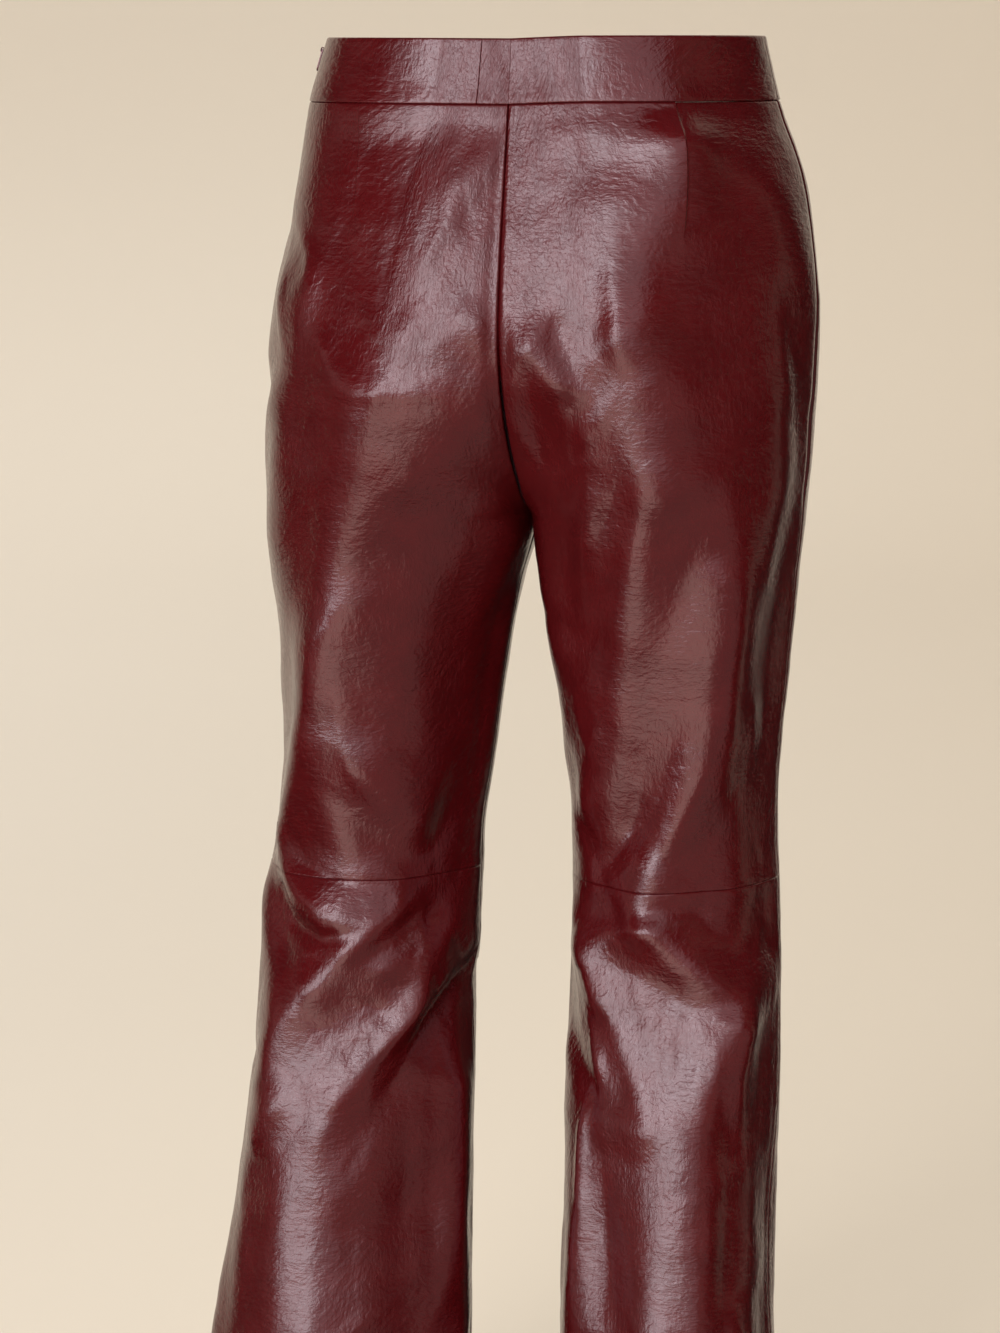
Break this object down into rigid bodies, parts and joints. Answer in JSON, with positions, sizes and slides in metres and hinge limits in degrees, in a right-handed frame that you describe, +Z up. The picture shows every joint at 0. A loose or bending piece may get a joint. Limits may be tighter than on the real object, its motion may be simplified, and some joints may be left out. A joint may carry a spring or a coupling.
{
  "type": "faux leather flared trousers",
  "caption": "High-waisted flared trousers in glossy faux leather with a contoured waistband, knee seams and a hidden side zip, hollow and upright as worn.",
  "frame": {"origin": "middle of the waist opening, level with the top edge of the waistband at the back", "axes": "+Z up along the wearer, +Y towards the seat, -Y towards the front, +X towards the wearer's left leg"},
  "size_m": [0.439, 0.2664, 1.0621],
  "materials": {
    "faux_leather": "glossy crinkled coated fabric, dark burgundy",
    "zip_tape": "woven tape, dyed to match",
    "zip_enamel": "smooth enamel, dyed to match"
  },
  "bodies": {
    "trousers": {"upper_back_left": "faux_leather", "upper_back_right": "faux_leather", "upper_front_left": "faux_leather", "upper_front_right": "faux_leather", "lower_back_left": "faux_leather", "lower_back_right": "faux_leather", "lower_front_left": "faux_leather", "lower_front_right": "faux_leather", "waistband_back_left": "faux_leather", "waistband_back_right": "faux_leather", "waistband_front": "faux_leather", "zip_tape": "zip_tape", "zip_slider": "zip_enamel"},
    "pull": {"zip_pull": "zip_enamel"}
  },
  "joints": [
    {"name": "pull_swing", "type": "hinge", "parent": "trousers", "child": "pull", "pos_m": [0.14765, 0.0022, -0.01126], "axis": [0, -1, 0], "range_deg": [0, 150]}
  ]
}
